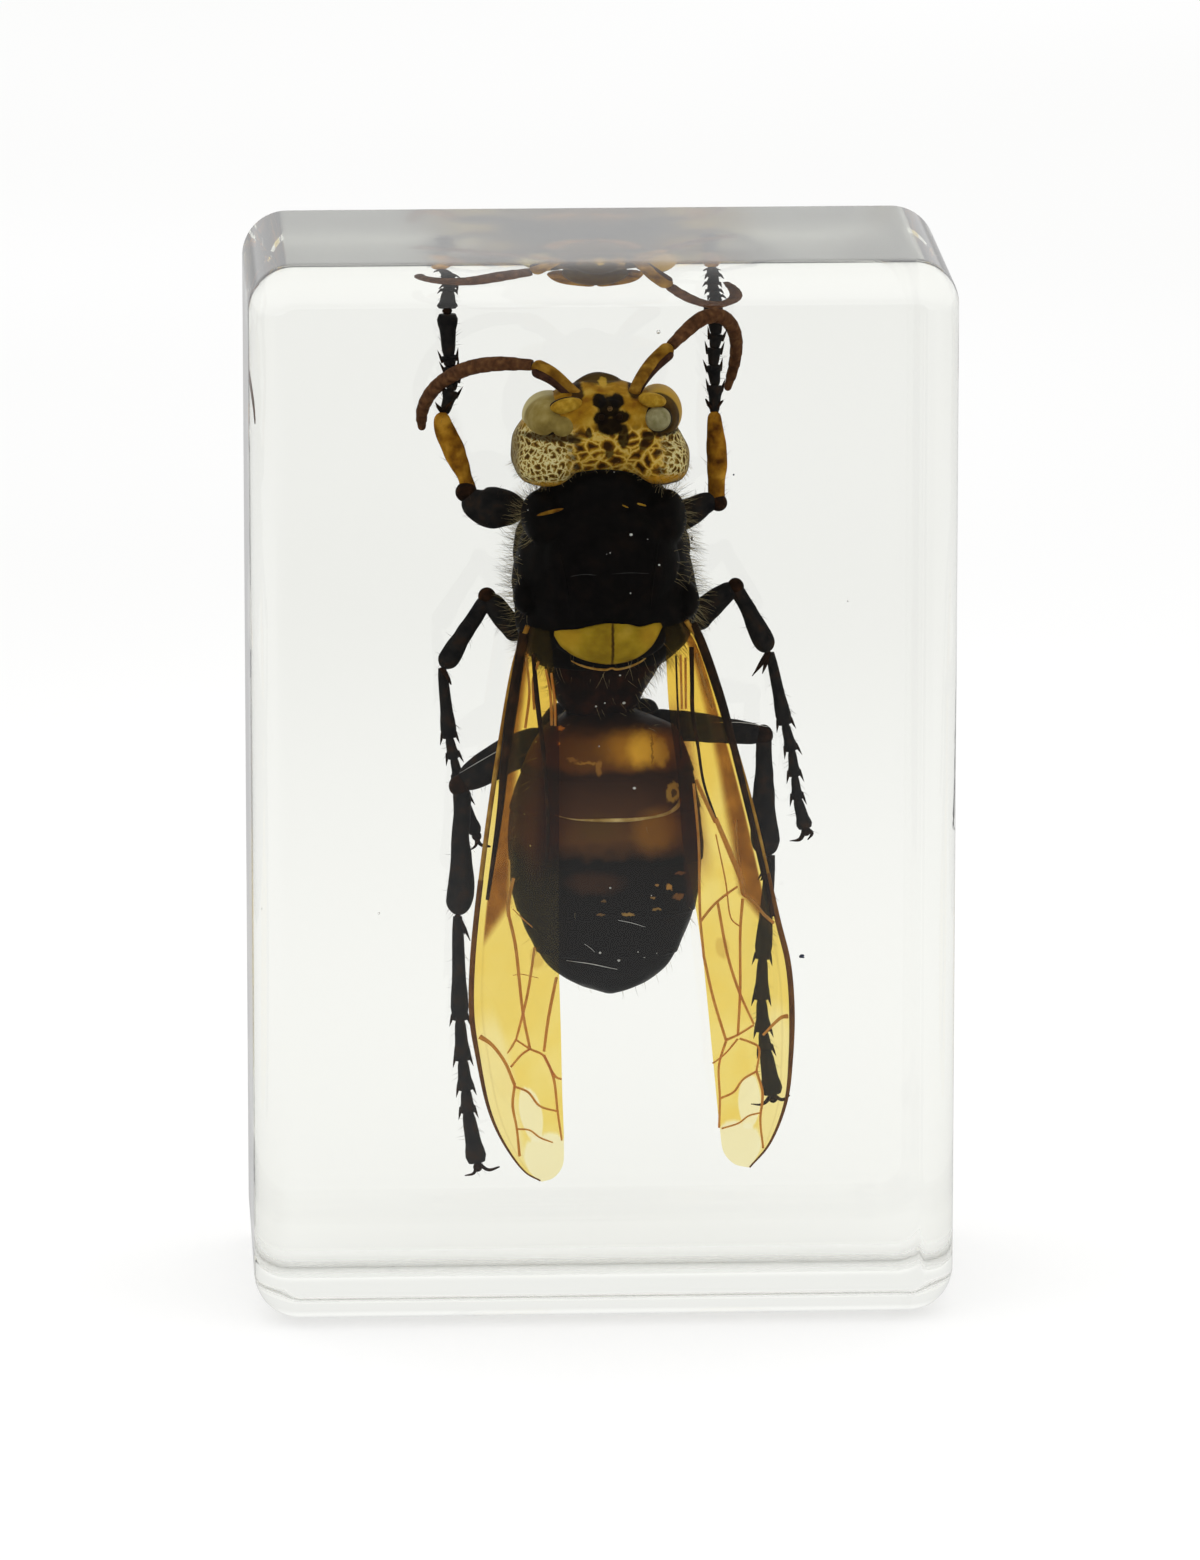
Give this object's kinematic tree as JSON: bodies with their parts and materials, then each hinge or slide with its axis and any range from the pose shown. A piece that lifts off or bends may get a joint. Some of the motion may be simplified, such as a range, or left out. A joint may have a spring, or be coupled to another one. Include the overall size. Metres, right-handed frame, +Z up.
{
  "type": "insect in resin block",
  "caption": "Upright block of clear cast resin with softened edges and a flat base, holding a dried hornet, wings folded and legs spread, in its middle.",
  "frame": {"origin": "middle of the flat underside the block stands on", "axes": "+Z up, the insect's head towards +Z; the viewing face looks along -Y and the back face along +Y; +X to the viewer's right"},
  "size_m": [0.04, 0.022, 0.061],
  "materials": {
    "clear_resin": "clear cast resin, polished, faintly warm grey",
    "black_cuticle": "dried black-brown insect cuticle, dull in the resin",
    "amber_cuticle": "dried golden-amber insect cuticle, slightly translucent",
    "compound_eye": "dried olive-brown compound eye",
    "wing_membrane": "amber see-through wing membrane",
    "bristle": "fine dark and pale hairs"
  },
  "bodies": {
    "root": {"resin_block": "clear_resin"}
  },
  "joints": []
}
